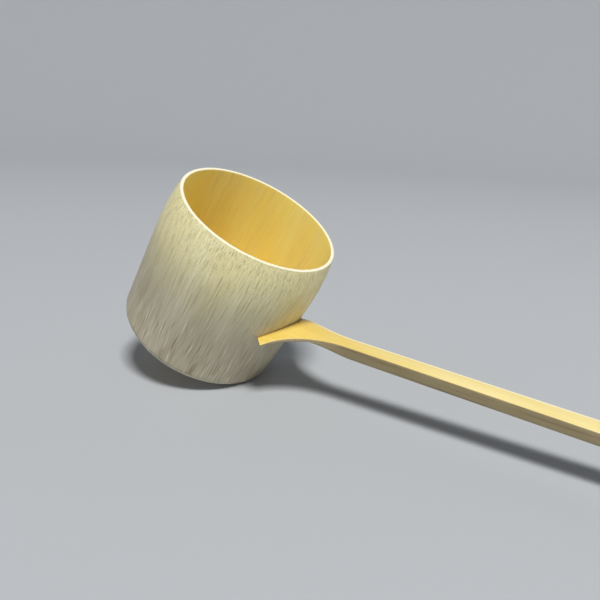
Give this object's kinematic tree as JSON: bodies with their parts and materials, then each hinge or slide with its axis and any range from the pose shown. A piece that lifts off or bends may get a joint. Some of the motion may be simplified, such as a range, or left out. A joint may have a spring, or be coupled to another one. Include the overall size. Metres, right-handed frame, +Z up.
{
  "type": "water dipper",
  "caption": "Bamboo tea dipper: a round cup cut from a culm with its node as the floor, and a long split handle whose moon-shaped fishtail head hugs the wall, held by a tenon and wedge.",
  "frame": {"origin": "on the table, under the middle of the box that holds the dipper as it lies, with the cup on its foot's edge and the handle on its free end", "axes": "+X from the cup along the handle to its free end, +Z up from the table, and the XZ plane is the plane of symmetry"},
  "size_m": [0.36, 0.058, 0.0706],
  "materials": {
    "cup_bamboo": "culm with its skin scraped off, dry and satin, straw coloured outside and golden inside",
    "handle_bamboo": "split bamboo, planed, pale yellow with fine lengthwise fibres, satin",
    "wedge_bamboo": "knife-cut bamboo sliver, dry"
  },
  "bodies": {
    "root": {"cup": "cup_bamboo", "handle": "handle_bamboo", "tenon_wedge": "wedge_bamboo"}
  },
  "joints": []
}
